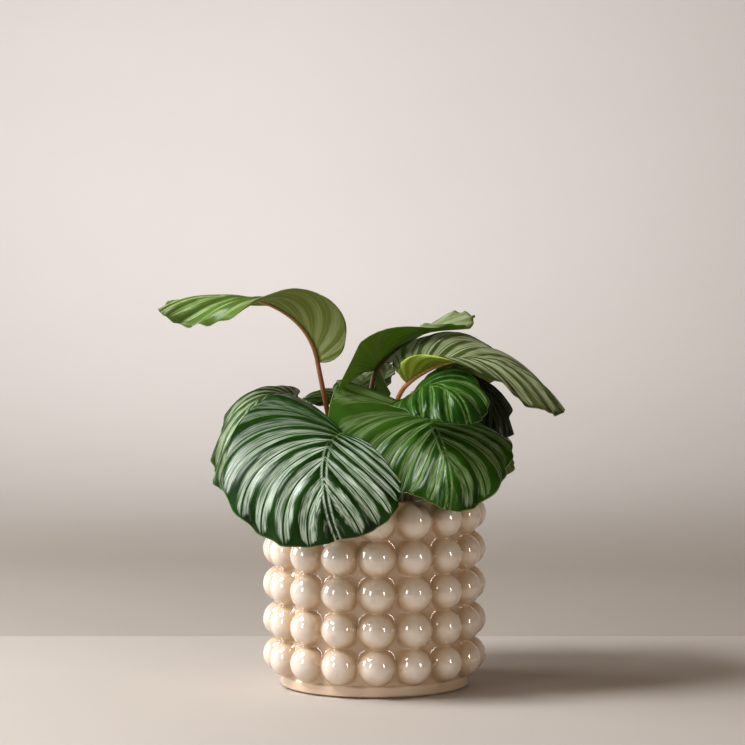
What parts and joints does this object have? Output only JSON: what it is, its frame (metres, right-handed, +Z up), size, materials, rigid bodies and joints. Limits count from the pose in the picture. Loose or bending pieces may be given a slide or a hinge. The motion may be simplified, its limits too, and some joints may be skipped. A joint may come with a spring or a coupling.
{
  "type": "potted round-leaf calathea",
  "caption": "Round-leaf calathea with waved, silver-striped leaves on arching stalks, growing in soil in a glossy cream ceramic planter whose whole side is rows of half-round bubbles.",
  "frame": {"origin": "centre of the pot's underside, on the surface the pot stands on", "axes": "+Z up, -Y towards the front that shows the two big striped leaves"},
  "size_m": [0.325, 0.248, 0.3203],
  "materials": {
    "cream_glaze": "gloss",
    "potting_soil": "matte",
    "leaf": "satin",
    "stalk": "satin"
  },
  "bodies": {
    "root": {"pot": "cream_glaze", "soil": "potting_soil", "leaf_1_blade": "leaf", "leaf_1_stalk": "stalk", "leaf_2_blade": "leaf", "leaf_2_stalk": "stalk", "leaf_3_blade": "leaf", "leaf_3_stalk": "stalk", "leaf_4_blade": "leaf", "leaf_4_stalk": "stalk", "leaf_5_blade": "leaf", "leaf_5_stalk": "stalk", "leaf_6_blade": "leaf", "leaf_6_stalk": "stalk", "leaf_7_blade": "leaf", "leaf_7_stalk": "stalk", "leaf_8_blade": "leaf", "leaf_8_stalk": "stalk", "leaf_9_blade": "leaf", "leaf_9_stalk": "stalk", "leaf_10_blade": "leaf", "leaf_10_stalk": "stalk", "leaf_11_blade": "leaf", "leaf_11_stalk": "stalk", "leaf_12_blade": "leaf", "leaf_12_stalk": "stalk", "leaf_13_blade": "leaf", "leaf_13_stalk": "stalk", "leaf_14_blade": "leaf", "leaf_14_stalk": "stalk"}
  },
  "joints": []
}
